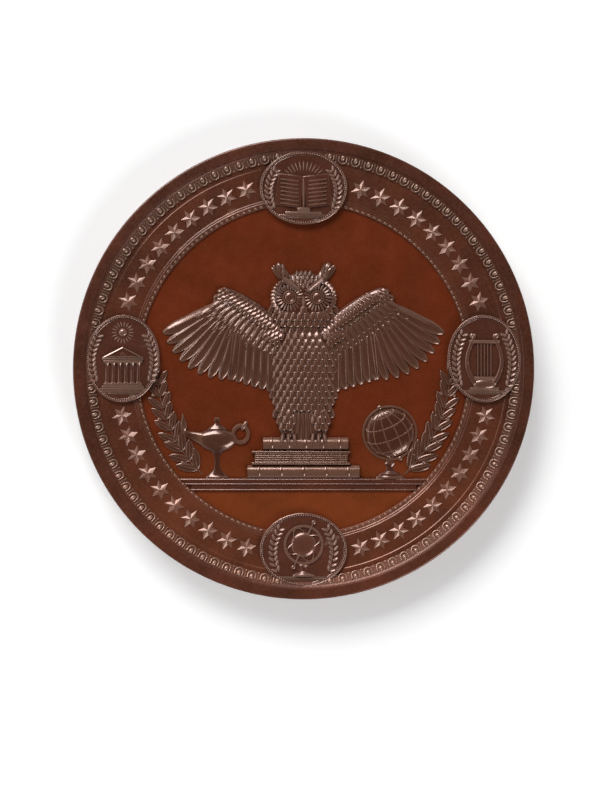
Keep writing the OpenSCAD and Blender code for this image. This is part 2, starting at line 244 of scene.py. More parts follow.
def copies(unit, places, name):
    """A unit copied to each place, every copy with its own mesh, joined to one piece."""
    made = []
    for place in places:
        copy = unit.copy()
        copy.data = unit.data.copy()
        copy.data.transform(place)
        if place.determinant() < 0:
            copy.data.flip_normals()
        bpy.context.collection.objects.link(copy)
        made.append(copy)
    bpy.data.objects.remove(unit)
    return joined(made, name)


def at(x, y, z, turn=0.0, tip=0.0, roll=0.0, size=(1, 1, 1)):
    """A place: sized, rolled about its length, tipped up, turned in the field, then moved."""
    return (
        Matrix.Translation(Vector((x, y, z)) * MM)
        @ Matrix.Rotation(math.radians(turn), 4, "Z")
        @ Matrix.Rotation(math.radians(-tip), 4, "Y")
        @ Matrix.Rotation(math.radians(roll), 4, "X")
        @ Matrix.Diagonal((*size, 1))
    )


def polar(radius, angle):
    """The x and y of a point at a radius and an angle in degrees."""
    return radius * math.cos(math.radians(angle)), radius * math.sin(math.radians(angle))


def round_places(radius, z, angles, tip=0.0, x=0.0, y=0.0, lean=0.0):
    """Places on a circle about a point, each with its X outward, leaned aside and tipped up."""
    places = []
    for angle in angles:
        across, along = polar(radius, angle)
        places.append(at(x + across, y + along, z, turn=angle + lean, tip=tip))
    return places


MIRROR = Matrix.Diagonal((-1, 1, 1, 1))


def both_sides(places):
    """Places on the right with the same places mirrored to the left."""
    return [*places, *(MIRROR @ place for place in places)]


def applied(piece, kind, **settings):
    """Adds a modifier with its settings and applies it."""
    take(piece)
    modifier = piece.modifiers.new(kind.lower(), kind)
    for key, value in settings.items():
        setattr(modifier, key, value)
    bpy.ops.object.modifier_apply(modifier=modifier.name)


def softened(piece, voxel, rounds):
    """Fuses the overlapping forms of a piece into one skin and smooths it."""
    applied(piece, "REMESH", mode="VOXEL", voxel_size=voxel * MM)
    applied(piece, "SMOOTH", iterations=rounds, factor=0.6)
    return piece


def cut_below(piece, z):
    """Cuts off what lies under a height and closes the cut."""
    edit_points(piece)
    bpy.ops.mesh.bisect(plane_co=(0, 0, z * MM), plane_no=(0, 0, 1), clear_inner=True, use_fill=True)
    rest()
    return piece


# Small forms

def ball(x, y, z, size, segments=16, rings=10, turn=0.0):
    """A rounded form with its poles along its own length."""
    piece = added(
        bpy.ops.mesh.primitive_uv_sphere_add, segments=segments, ring_count=rings, radius=MM,
        rotation=ALONG_X,
    )
    piece.data.transform(at(x, y, z, turn=turn, size=size))
    return piece


def block(x, y, z, size, turn=0.0, soft=0.0, hip=0.0, rise=0.7):
    """A block with its middle at a place, and softened edges or a slope of a width round its top.
    A wide top gets two narrow rings of faces along its edge, which keep its shading flat."""
    piece = added(bpy.ops.mesh.primitive_cube_add, size=MM)
    piece.data.transform(at(0, 0, 0, size=size))
    if soft:
        edit_points(piece)
        bevel(soft)
    if hip or min(size[0], size[1]) > 0.5:
        edit_faces(piece, up)
        if hip:
            inset(hip, hip * rise)
        for _ in range(2):
            inset(0.03)
    rest()
    piece.data.transform(at(x, y, z, turn=turn))
    return piece


def ring(x, y, z, radius, thickness, size=(1, 1, 1), turn=0.0, segments=40, minor=8):
    """A ring that lies in the field."""
    piece = added(
        bpy.ops.mesh.primitive_torus_add, major_radius=radius * MM, minor_radius=thickness * MM,
        major_segments=segments, minor_segments=minor,
    )
    piece.data.transform(at(x, y, z, turn=turn, size=size))
    return piece


def rod(foot_r, top_r, length, sides, z=0.0, rotation=ALONG_X):
    """A slim tapered rod with its middle at a height over the origin, along X."""
    return added(
        bpy.ops.mesh.primitive_cone_add, vertices=sides, radius1=foot_r * MM, radius2=top_r * MM,
        depth=length * MM, location=(0, 0, z * MM), rotation=rotation,
    )


def drum(sides, radius, depth, **settings):
    """A cylinder about the Z axis, unless it is turned."""
    return added(
        bpy.ops.mesh.primitive_cylinder_add, vertices=sides, radius=radius * MM, depth=depth * MM,
        **settings,
    )


def spun(profile, steps):
    """A form spun about the Z axis from a profile of radius and height pairs."""
    piece = added(bpy.ops.mesh.primitive_plane_add, size=MM)
    edit_points(piece)
    bpy.ops.mesh.merge(type="CENTER")
    shift(profile[0][0], 0, profile[0][1])
    for (r0, z0), (r1, z1) in zip(profile, profile[1:]):
        bpy.ops.mesh.extrude_vertices_move(
            TRANSFORM_OT_translate={"value": ((r1 - r0) * MM, 0, (z1 - z0) * MM)}
        )
    bpy.ops.mesh.select_all(action="SELECT")
    bpy.ops.mesh.spin(steps=steps, angle=2 * math.pi, center=(0, 0, 0), axis=(0, 0, 1))
    rest()
    return piece


def turned(profile, steps, flat, x=0.0, y=0.0, z=0.0, turn=0.0):
    """A spun form laid down along +Y and flattened to relief."""
    piece = outward(spun(profile, steps), 40)
    lay_down = Matrix.Rotation(math.radians(-90), 4, "X")
    piece.data.transform(at(x, y, z, turn=turn, size=(1, 1, flat)) @ lay_down)
    return piece


def rooted(piece, length, smooth_angle):
    """A leaf or feather moved along +X until its root is at the origin."""
    rest()
    piece.data.transform(Matrix.Translation((length / 2 * MM, 0, 0)))
    return outward(piece, smooth_angle)


def leaf_unit(length, width, height, segments=12):
    """A pointed leaf from its stalk at the origin along +X, ridged down the middle."""
    leaf = ball(0, 0, 0, (length / 2, width / 2, height), segments=segments, rings=segments)
    edit_points(leaf, lambda co: abs(co.x) > length * LEAF_TIP * MM)
    grow(1, 0.55, 0.8)
    edit_points(leaf, lambda co: abs(co.y) < width * 0.02 * MM and co.z > 0)
    shift(0, 0, height * 0.3)
    edit_points(leaf, lambda co: abs(co.y) > width * 0.3 * MM)
    grow(1, 1, 0.5)
    return rooted(leaf, length, 45)


def veined_leaf(length, width, height):
    """A pointed leaf from its stalk at the origin along +X: a low smooth blade with a raised vein."""
    blade = ball(0, 0, 0, (length / 2, width / 2, height), segments=16, rings=12)
    edit_points(blade, lambda co: abs(co.x) > length * LEAF_TIP * MM)
    grow(1, 0.62, 0.8)
    vein = rod(width * 0.09, width * 0.03, length * 0.9, 6, z=height * 0.9)
    return rooted(joined([blade, vein], "veined_leaf"), length, 45)


def feather_unit(length, width, height):
    """A feather from its root at the origin along +X, ridged to a raised shaft, with a rounded tip."""
    vane = ball(0, 0, 0, (length / 2, width / 2, height), segments=12, rings=10)
    edit_points(vane, lambda co: co.x > length * 0.25 * MM)
    grow(1, 1.22, 1)
    edit_points(vane, lambda co: co.x < -length * 0.3 * MM)
    grow(1, 0.8, 1)
    edit_points(vane, lambda co: abs(co.y) > width * 0.2 * MM)
    grow(1, 1, 0.72)
    shaft = rod(width * 0.07, width * 0.02, length * 0.94, 6, z=height * 0.86)
    return rooted(joined([vane, shaft], "feather"), length, 40)


# The blank

def seat_height(radius):
    """The height of the sloping seat under the egg and dart moulding."""
    return SEAT_OUT_Z + (SEAT_IN_Z - SEAT_OUT_Z) * (RIM_IN_R - radius) / (RIM_IN_R - MOULDING_IN_R)


def border_line(radius):
    """A fine ridge on the band, from its outer foot to its inner foot."""
    foot = BORDER_LINE_W / 2
    top = foot * BORDER_LINE_TOP_SHARE
    top_z = BAND_Z + BORDER_LINE_H
    return [
        (radius + foot, BAND_Z), (radius + top, top_z), (radius - top, top_z), (radius - foot, BAND_Z)
    ]


def make_blank():
    """The turned blank, from the middle of the reverse round its edge to the middle of the field."""
    back_in = MEDAL_R - BACK_RIM_W
    reverse = [(0.0, BACK_HOLLOW), (back_in - 0.3, BACK_HOLLOW), (back_in, 0.02), (back_in + 0.1, 0)]
    edge = [(MEDAL_R - inward, z) for inward, z in BACK_CORNER]
    for k in range(TOP_CORNER_STEPS + 1):
        t = math.pi / 2 * k / TOP_CORNER_STEPS
        inward, down = TOP_CORNER_R * (1 - math.cos(t)), TOP_CORNER_R * (1 - math.sin(t))
        edge.append((MEDAL_R - inward, RIM_T - down))
    rim = [(r, RIM_T) for r in (MEDAL_R - 0.6, RIM_IN_R + 0.5, RIM_IN_R + 0.25, RIM_IN_R + 0.07)]
    seat = [
        (RIM_IN_R + 0.02, RIM_T - 0.04),
        (RIM_IN_R - 0.02, seat_height(RIM_IN_R) + 0.02),
        (LIP_R + 0.05, seat_height(LIP_R) + LIP_H),
        (LIP_R - LIP_STEP_W, seat_height(LIP_R - LIP_STEP_W)),
        (EGG_CIRCLE_R, seat_height(EGG_CIRCLE_R)),
        (MOULDING_IN_R + 0.1, seat_height(MOULDING_IN_R)),
    ]
    fillet = [(r, BAND_Z + FILLET_H) for r in (MOULDING_IN_R, MOULDING_IN_R - 0.3, FILLET_IN_R)]
    band = [(FILLET_IN_R - inward, BAND_Z) for inward in (FILLET_SLOPE_W, 0.5, 0.9)]
    band += [(r, BAND_Z) for r in (STAR_CIRCLE_R, BAND_IN_R + 0.6, BAND_IN_R + 0.25)]
    lines = [*border_line(BORDER_LINE_R), *border_line(BORDER_LINE_R - BORDER_LINE_PITCH)]
    bead_seat = [(BEAD_SEAT_R, BAND_Z), (BEAD_SEAT_IN_R, BAND_Z - BEAD_SEAT_DROP)]
    field = [(r, FIELD_Z) for r in (FIELD_R + 0.02, FIELD_R - 0.3, FIELD_R - 0.7, FIELD_R - 1.4)]
    field += [(FIELD_R * 0.7, FIELD_Z + 0.02), (FIELD_R * 0.4, FIELD_Z + 0.04), (0.0, FIELD_Z + 0.05)]
    profile = [*reverse, *edge, *rim, *seat, *fillet, *band, *lines, *bead_seat, *field]
    blank = joined([spun(profile, TURN_STEPS)], "blank")
    blank.data.transform(Matrix.Rotation(2 * math.pi / TURN_STEPS / 3, 4, "Z"))
    return outward(blank, 20)


def clear_of_roundels(angles, radius, margin):
    """The angles at which a place on a circle is clear of the roundels, by a margin in millimetres."""
    off = (radius - ROUNDEL_CIRCLE_R) / (ROUNDEL_W / 2)
    half = math.degrees(math.asin((ROUNDEL_L / 2 * math.sqrt(1 - off * off) + margin) / radius))
    return [a for a in angles if all(abs((a - r + 540) % 360 - 180) > half for r in ROUNDEL_ANGLES)]


def round_the_seat(unit, first, name):
    """A unit of the moulding copied round the seat, the first one a share of a step from the right."""
    angles = [(k + first) * (360 / EGG_COUNT) for k in range(EGG_COUNT)]
    kept = clear_of_roundels(angles, EGG_CIRCLE_R, EGG_MARGIN)
    slope = math.degrees(math.atan2(SEAT_OUT_Z - SEAT_IN_Z, RIM_IN_R - MOULDING_IN_R))
    return copies(unit, round_places(EGG_CIRCLE_R, seat_height(EGG_CIRCLE_R), kept, slope), name)


def make_moulding():
    """Egg and dart on the sloping seat: eggs in open husks with darts between them."""
    egg = ball(0.1, 0, 0.02, (0.56, 0.4, 0.33), segments=8, rings=6)
    edit_points(egg, lambda co: co.x < -0.2 * MM)
    grow(1, 0.8, 0.8)
    husk = ring(-0.06, 0, 0.04, 0.66, 0.14, size=(1.06, 1.0, 1.25), segments=14, minor=6)
    edit_points(husk, lambda co: co.x > 0.3 * MM)
    bpy.ops.mesh.delete(type="VERT")
    edit_points(husk, lambda co: co.x > -0.1 * MM)
    shift(0.36, 0, 0)
    edit_points(husk)
    bpy.ops.mesh.select_mode(type="EDGE")
    bpy.ops.mesh.select_all(action="DESELECT")
    bpy.ops.mesh.select_non_manifold()
    bpy.ops.mesh.edge_face_add()
    eggs = round_the_seat(joined([outward(egg, 60), outward(husk, 75)], "egg"), 0.5, "eggs")
    dart = rod(0.16, 0.07, 1.3, 4, rotation=(0, -math.pi / 2, 0))
    dart.data.transform(at(-0.05, 0, 0.02))
    tip = ball(-0.66, 0, 0.03, (0.2, 0.15, 0.22), segments=6, rings=4)
    darts = round_the_seat(joined([outward(dart, 20), outward(tip, 60)], "dart"), 0.0, "darts")
    return joined([eggs, darts], "egg_and_dart")


def make_beads():
    """The small beads round the central field, left out under the roundels."""
    bead = ball(0, 0, 0, (0.24, 0.36, 0.15), segments=8, rings=5)
    slope = math.degrees(math.atan2(BEAD_SEAT_DROP, BEAD_SEAT_R - BEAD_SEAT_IN_R))
    angles = [k * 360 / BEAD_COUNT for k in range(BEAD_COUNT)]
    kept = clear_of_roundels(angles, BEAD_CIRCLE_R, BEAD_MARGIN)
    seat = BAND_Z - BEAD_SEAT_DROP / 2
    return copies(outward(bead, 60), round_places(BEAD_CIRCLE_R, seat, kept, slope), "beads")


def make_stars():
    """Six-pointed faceted stars in four groups, each group centred between two roundels."""
    star = drum(12, STAR_R, STAR_FOOT_T)
    edit_points(star, lambda co: round(math.degrees(math.atan2(co.y, co.x)) / 30) % 2 == 0)
    waist = STAR_WAIST_R / STAR_R
    bpy.ops.transform.resize(value=(waist, waist, 1), center_override=(0, 0, 0))
    edit_faces(star, up)
    bpy.ops.mesh.poke()
    edit_points(star, lambda co: co.z > 0 and math.hypot(co.x, co.y) < 0.1 * MM)
    shift(0, 0, STAR_H)
    rest()
    star.data.transform(at(0, 0, -STAR_SINK, turn=30))
    outward(star, 5)
    angles = []
    for k, count in enumerate(STAR_COUNTS):
        start, end = ROUNDEL_ANGLES[k - 1], ROUNDEL_ANGLES[k]
        middle = (start - (360 if k == 0 else 0) + end) / 2
        angles += [middle + (i - (count - 1) / 2) * STAR_STEP for i in range(count)]
    return copies(star, round_places(STAR_CIRCLE_R, BAND_Z, angles), "star_ring")


# Roundels

def make_plate(angle):
    """The oval plate of the roundel at an angle, with two fine rims and the beads between them."""
    plate = drum(72, 1, PLATE_T)
    top = PLATE_Z + PLATE_FRAME_H
    plate.data.transform(at(0, 0, top - PLATE_T / 2, size=(ROUNDEL_L / 2, ROUNDEL_W / 2, 1)))
    edit_faces(plate, up)
    for width, rise in PLATE_STEPS:
        inset(width, rise)
    bpy.ops.mesh.poke()
    bead = ball(0, 0, 0, (0.14, 0.13, 0.09), segments=6, rings=5)
    places = []
    for i in range(PLATE_BEADS):
        t = 2 * math.pi * i / PLATE_BEADS
        x = (ROUNDEL_L / 2 - PLATE_BEAD_IN) * math.cos(t)
        y = (ROUNDEL_W / 2 - PLATE_BEAD_IN) * math.sin(t)
        places.append(at(x, y, PLATE_Z + 0.2, turn=math.degrees(math.atan2(y, x))))
    beads = copies(bead, places, "plate_beads")
    piece = joined([outward(plate, 30), outward(beads, 60)], "plate")
    piece.data.transform(at(*polar(ROUNDEL_CIRCLE_R, angle), 0, turn=angle - 90))
    return piece


def sprig(side, out, low, height, leaves):
    """A small laurel sprig that climbs beside an emblem, on the given side."""
    places = []
    for i in range(leaves):
        s = i / (leaves - 1)
        x = side * (out + 0.8 * math.sin(math.pi * s))
        lean = 90 - side * (34 - 72 * s)
        places += [at(x, low + height * s, 0.08, turn=lean + spread, tip=6) for spread in (36, -36)]
    return copies(leaf_unit(1.35, 0.6, 0.25), places, "sprig")


def rays(x, y, inner, length, first, last, count):
    """A fan of fine pointed rays round a point, from one angle to another."""
    angles = [first + (last - first) * k / (count - 1) for k in range(count)]
    return copies(leaf_unit(length, 0.34, 0.17), round_places(inner, 0.02, angles, x=x, y=y), "rays")


def ground(width, height):
    """The ground line under an emblem, with a finer line below it."""
    half = width / 2 * math.sqrt(1 - GROUND_SHARE ** 2) - 0.5
    low = -GROUND_SHARE * height / 2
    upper = block(0, low - 0.18, 0.04, (2 * half, 0.36, 0.4), hip=0.14, rise=0.62)
    lower = block(0, low - 0.54, 0.0, (2 * half - 0.5, 0.2, 0.3), hip=0.08, rise=0.62)
    return joined([upper, lower], "ground")


def open_book():
    """An open book on a low stand, with lines across its pages."""
    parts = []
    for side in (1, -1):
        page = block(side * 1.72, -0.5, 0.2, (3.3, 4.0, 0.5), soft=0.12)
        edit_points(page)
        bpy.ops.mesh.subdivide(number_cuts=3)
        edit_points(page, lambda co: co.z > 0.2 * MM and 0.5 * MM < abs(co.x) < 2.4 * MM)
        shift(0, 0, 0.2)
        rest()
        page.data.transform(at(0, 0.35, 0, turn=side * 7))
        parts.append(outward(page, 40))
        for i in range(7):
            y = 1.2 - i * 0.5
            parts.append(block(side * 1.75, y + 0.16, 0.62, (2.3, 0.16, 0.16), turn=side * 7, soft=0.04))
    parts.append(ball(0, -0.4, 0.45, (2.1, 0.16, 0.22), segments=8, rings=6, turn=90))
    parts.append(block(0, -2.75, 0.16, (4.6, 0.35, 0.42), hip=0.13, rise=0.8))
    parts.append(block(0, -2.35, 0.16, (1.6, 0.6, 0.42), hip=0.16, rise=0.8))
    return parts


def temple():
    """A small temple front: steps, columns, beam and pediment."""
    parts = []
    for y, z, length in ((-3.1, 0.1, 7.4), (-2.72, 0.15, 6.8), (-2.34, 0.2, 6.2)):
        parts.append(block(0, y, z, (length, 0.4, 0.5), hip=0.16, rise=0.62))
    column = [
        (0, 0), (0.46, 0), (0.46, 0.18), (0.34, 0.26), (0.3, 1.6), (0.27, 3.0), (0.36, 3.12),
        (0.44, 3.3), (0, 3.3),
    ]
    places = [at((i - 2.5) * 1.02, -2.15, 0.12) for i in range(6)]
    parts.append(copies(turned(column, 12, 1.0), places, "columns"))
    parts.append(block(0, 1.36, 0.25, (6.3, 0.42, 0.52), hip=0.14, rise=0.62))
    parts.append(block(0, 1.78, 0.3, (6.7, 0.34, 0.56), hip=0.14, rise=0.62))
    roof = drum(3, 1, 0.7)
    roof.data.transform(at(0, 2.6, 0.25, size=(3.9, 1.15, 1)))
    edit_faces(roof, up)
    for width, rise in ((0.14, 0.09), (0.06, 0.0), (0.05, -0.22), (0.04, 0.0)):
        inset(width, rise)
    parts.append(outward(roof, 20))
    parts.append(ring(0, 2.5, 0.42, 0.3, 0.09, segments=16, minor=6))
    return parts


def lyre():
    """A lyre: curved arms, crossbar, strings and a moulded foot."""
    parts = []
    steps = 22
    for side in (1, -1):
        arm = []
        for i in range(steps + 1):
            s = i / steps
            x = side * (0.75 + 1.15 * math.sin(math.pi * (0.1 + 0.9 * s)) + 0.35 * s ** 4)
            y = -2.4 + 5.1 * s
            arm.append(ball(x, y, 0.28, (0.34, 0.3 - 0.08 * s, 0.4), segments=8, rings=6, turn=90))
        parts.append(outward(softened(joined(arm, "arm"), 0.1, 4), 60))
        parts.append(ball(side * 1.35, 2.75, 0.3, (0.3, 0.3, 0.4), segments=10, rings=8))
    parts.append(block(0, 2.1, 0.32, (3.4, 0.36, 0.44), hip=0.13, rise=0.9))
    for i in range(5):
        parts.append(block((i - 2) * 0.36, 0.1, 0.28, (0.13, 4.0, 0.3), soft=0.03))
    parts.append(block(0, -1.95, 0.3, (2.2, 0.4, 0.44), hip=0.14, rise=0.9))
    parts.append(ball(0, -2.6, 0.2, (1.3, 0.6, 0.5), segments=14, rings=8))
    parts.append(block(0, -3.1, 0.12, (3.2, 0.36, 0.42), hip=0.13, rise=0.9))
    return parts


def ringed_sphere():
    """A ringed sphere on a turned foot."""
    foot = [
        (0, 0), (1.3, 0), (1.3, 0.2), (0.9, 0.36), (0.36, 0.6), (0.3, 1.1), (0.62, 1.35), (0.3, 1.6),
        (0, 1.6),
    ]
    middle = 0.55
    return [
        turned(foot, 20, 0.5, y=-3.2, z=0.1),
        ball(0, middle, 0.12, (1.5, 1.5, 0.62), segments=20, rings=12),
        ring(0, middle, 0.3, 2.2, 0.17),
        ring(0, middle, 0.3, 2.15, 0.14, size=(1, 0.36, 1), turn=24),
        ring(0, middle, 0.34, 2.15, 0.13, size=(0.4, 1, 1), turn=24),
        ball(0, middle, 0.42, (2.95, 0.13, 0.14), segments=6, rings=8, turn=66),
        ball(1.2, 3.2, 0.4, (0.26, 0.26, 0.26), segments=8, rings=6),
        ball(-1.2, -2.1, 0.4, (0.26, 0.26, 0.26), segments=8, rings=6),
    ]


# Each roundel: its place, its emblem, how far the emblem's foot lies below its own middle, its scale
# and its sprigs: how far out they stand, where they start, how high they climb, their pairs of leaves.
ROUNDELS = (
    ("top", open_book, 2.92, 1.32, (4.9, -3.5, 6.0, 9)),
    ("left", temple, 3.3, 1.02, (4.35, -3.9, 7.4, 10)),
    ("bottom", ringed_sphere, 3.2, 1.4, (4.2, -3.7, 6.8, 9)),
    ("right", lyre, 3.27, 1.5, (3.8, -4.7, 8.4, 11)),
)


def over_the_emblem(place):
    """Rays over the book at the top, and a sun with its rays over the temple at the left."""
    if place == "top":
        return [rays(0, 0.2, 2.5, 1.9, 22, 158, 15)]
    if place == "left":
        sun = ball(0, 4.3, 0.1, (0.7, 0.7, 0.5), segments=12, rings=8)
        return [sun, rays(0, 4.3, 0.85, 1.1, 0, 340, 18)]
    return []


def make_roundel(k):
    """One roundel: its plate, and upright on it the ground, the emblem and what stands round that."""
    angle = ROUNDEL_ANGLES[k]
    across, tall = (ROUNDEL_L, ROUNDEL_W) if k % 2 == 0 else (ROUNDEL_W, ROUNDEL_L)
    place, build, foot, scale, sprigs = ROUNDELS[k]
    figure = joined(build(), "figure")
    figure.data.transform(at(0, foot * scale - GROUND_SHARE * tall / 2, 0, size=(scale, scale, 1)))
    parts = [ground(across, tall), figure, *(sprig(side, *sprigs) for side in (1, -1))]
    emblem = joined([*parts, *over_the_emblem(place)], "emblem")
    emblem.data.transform(at(*polar(ROUNDEL_CIRCLE_R, angle), PLATE_Z - 0.04, size=(1, 1, EMBLEM_SHARE)))
    outward(emblem)
    return joined([make_plate(angle), emblem], f"roundel_{place}")


# Ledge and books

def make_ledge():
    """The ledge: two low steps and three fine ridges along them, its ends running into the border."""

    def bar(drop, width, low, high, soft=0.0):
        y = -LEDGE_DROP - drop - width / 2
        half = math.sqrt((FIELD_R + 0.25) ** 2 - (LEDGE_DROP + drop + width) ** 2)
        return block(0, y, FIELD_Z + (low + high) / 2, (2 * half, width, high - low), soft=soft)

    parts = [
        bar(0, LEDGE_TREAD_W, -0.1, LEDGE_TREAD_H, soft=0.05),
        bar(LEDGE_TREAD_W, LEDGE_W - LEDGE_TREAD_W, -0.1, LEDGE_STEP_H, soft=0.05),
    ]
    ridges = ((0.0, LEDGE_TREAD_H), (0.74, LEDGE_TREAD_H), (LEDGE_W - LEDGE_RIDGE_W, LEDGE_STEP_H))
    for drop, base in ridges:
        ridge = bar(drop, LEDGE_RIDGE_W, base - 0.03, base + 0.06)
        edit_faces(ridge, up)
        grow(1, 0.12, 1)
        parts.append(ridge)
    return outward(joined(parts, "ledge"), 15)


def page_ends(x, y, length):
    """A closed book seen from the side of its page ends: lined pages between two boards."""
    parts = [block(x, y, FIELD_Z + 0.5, (length - 0.9, BOOK_T - 0.5, 1.6), soft=0.06)]
    for line in range(5):
        line_y = y - 0.66 + line * 0.33
        parts.append(block(x, line_y, FIELD_Z + 1.3, (length - 1.1, 0.16, 0.1), hip=0.07))
    for side in (1, -1):
        board_y = y + side * (BOOK_T / 2 - 0.2)
        parts.append(block(x, board_y, FIELD_Z + 0.6, (length, 0.36, 1.7), hip=0.13))
    return parts


def spine(x, y, length):
    """A closed book seen from its rounded spine, with five raised bands."""
    back = drum(32, 1, length, rotation=ALONG_X)
    back.data.transform(at(x, y, FIELD_Z + 0.1, size=(1, BOOK_T / 2 - 0.02, 1.45)))
    edit_faces(back, endwise)
    inset(0.16)
    inset(0.05, -0.2)
    parts = [outward(back, 40)]
    for j in range(5):
        band = drum(32, 1, 0.5, rotation=ALONG_X)
        edit_faces(band, endwise)
        bevel(0.12)
        rest()
        band_x = x + (j - 2) * length * 0.2
        band.data.transform(at(band_x, y, FIELD_Z + 0.1, size=(1, BOOK_T / 2 + 0.04, 1.57)))
        parts.append(outward(band, 40))
    return parts


def make_books():
    """Three closed books: the spines of the upper and lower ones, the page ends of the middle one."""
    parts = []
    for i, (show, share, x) in enumerate(((spine, 1, 0), (page_ends, 0.88, -0.4), (spine, 0.76, 0.35))):
        parts += show(x, i * BOOK_T - LEDGE_DROP + BOOK_T / 2, BOOK_L * share)
    return outward(joined(parts, "book_stack"))


# The owl

def make_owl_body():
    """The owl's body, head, thighs and ear tufts as one softened form."""
    parts = [
        ball(0, PERCH_Y + 8.6, FIELD_Z - 0.2, (9.4, 5.3, 1.7), segments=32, rings=20, turn=90),
        ball(0, PERCH_Y + 12.5, FIELD_Z - 0.2, (6.6, 5.7, 1.68), segments=32, rings=20, turn=90),
        ball(0, NECK_Y + 2.9, FIELD_Z - 0.3, (5.0, 4.9, 2.05), segments=32, rings=20, turn=90),
        ball(0, NECK_Y + 1.6, FIELD_Z - 0.3, (3.4, 5.6, 1.95), segments=32, rings=20, turn=90),
    ]
    low = FIELD_Z - 0.1
    for side in (1, -1):
        parts += [
            ball(side * 2.5, PERCH_Y + 2.9, low, (3.4, 1.9, 1.6), segments=20, rings=12, turn=90),
            ball(side * 2.5, PERCH_Y + 0.9, FIELD_Z, (1.6, 1.0, 1.5), turn=90),
            ball(side * 3.3, NECK_Y + 7.0, low, (2.6, 1.0, 1.1), segments=12, turn=90 - side * 24),
        ]
    body = softened(joined(parts, "owl_body"), 0.2, 6)
    return outward(cut_below(body, low), 60)


def make_owl_face():
    """Face discs with rays of small feathers, eyes, brows and beak."""
    top = FIELD_Z + 1.72
    ray_count, edge_count = 22, 20
    ray_angles = [360 * k / ray_count for k in range(ray_count)]
    ray_places = round_places(1.15, top - 0.02, ray_angles, tip=-7, x=EYE_X, y=EYE_Y)
    edge_angles = [-100 + 235 * k / (edge_count - 1) for k in range(edge_count)]
    edge_places = round_places(2.35, top - 0.28, edge_angles, tip=-14, x=EYE_X, y=EYE_Y, lean=-20)
    parts = [
        copies(leaf_unit(1.35, 0.34, 0.14), both_sides(ray_places), "rays"),
        copies(leaf_unit(0.95, 0.62, 0.2), both_sides(edge_places), "face_edges"),
    ]
    for side in (1, -1):
        parts.append(ring(side * EYE_X, EYE_Y, top + 0.05, 1.02, 0.17, segments=28))
        parts.append(ball(side * EYE_X, EYE_Y, top - 0.1, (0.86, 0.86, 0.62), segments=20, rings=12))
        brow = leaf_unit(4.3, 0.95, 0.44, segments=16)
        brow.data.transform(at(side * 0.35, EYE_Y + 0.8, top - 0.08, turn=90 - side * 52, tip=2))
        parts.append(brow)
    beak = leaf_unit(2.5, 1.0, 0.75)
    beak.data.transform(at(0, EYE_Y + 0.55, top - 0.45, turn=-90, tip=2))
    return joined([*parts, beak], "owl_face")


def staggered(rows, count):
    """Each row's number with steps across from the middle, every second row half a step over."""
    return [(row, i - (count - 1) / 2 + 0.5 * (row % 2)) for row in range(rows) for i in range(count)]


def laid_on(target, spots, lift, lowest=0.7, most=24):
    """Places for small feathers that follow a piece's slope, from rows of x, y, direction and size.
    Lift is their angle over it and most their greatest tip. Low and steep spots stay bare."""
    places = []
    for x, y, turn, size in spots:
        above = Vector((x * MM, y * MM, 2 * RIM_T * MM))
        hit, place, normal, _ = target.ray_cast(above, Vector((0, 0, -1)))
        if not hit or place.z < (FIELD_Z + lowest) * MM or normal.z < LEAST_LEVEL:
            continue
        ahead = math.radians(turn)
        along = math.degrees(math.asin(normal.dot(Vector((math.cos(ahead), math.sin(ahead), 0)))))
        across = math.degrees(math.asin(normal.dot(Vector((-math.sin(ahead), math.cos(ahead), 0)))))
        tip = lift - max(-most, min(most, along))
        places.append(at(x, y, place.z / MM, turn=turn, tip=tip, roll=-across, size=(size, size, 1)))
    return places


def make_feathers(body):
    """Rows of small overlapping feathers on thighs, breast and throat, finer ones on crown and tufts."""
    spots = []
    for row, step in staggered(19, 11):
        y = PERCH_Y + 2.0 + row * 1.06
        throat = y > NECK_Y - 1.6
        x = step * (1.0 if throat else 1.1)
        on_face = math.hypot(abs(x) - EYE_X, y - EYE_Y) < 2.5
        between_feet = row < 3 and abs(x) < 1.3
        if not on_face and not between_feet:
            spots.append((x, y + 0.75, -90 + x * (6 if throat else 3.2), 0.9 if throat else 1))
    breast = copies(feather_unit(1.8, 1.2, 0.4), laid_on(body, spots, 12, 0.35, most=14), "breast")
    spots = []
    for row, step in staggered(5, 11):
        x = step * 0.66
        y = EYE_Y + 1.3 + row * 0.72
        if math.hypot(abs(x) - EYE_X, y - EYE_Y) > 2.3 or abs(x) < 1.2:
            spots.append((x, y, 90 - x * 9, 1))
    crown = copies(leaf_unit(1.15, 0.55, 0.22), laid_on(body, spots, 3), "crown")
    spots = []
    for k in range(4):
        spots.append((2.55 + 0.42 * k, EYE_Y + 2.2 + 0.25 * k, 82 - 9 * k, 1))
        spots.append((3.1 + 0.42 * k, EYE_Y + 3.4, 80 - 9 * k, 0.9))
    tufts = copies(leaf_unit(2.5, 0.62, 0.24), both_sides(laid_on(body, spots, 2, 0.3)), "tufts")
    return joined([breast, crown, tufts], "owl_feathers")


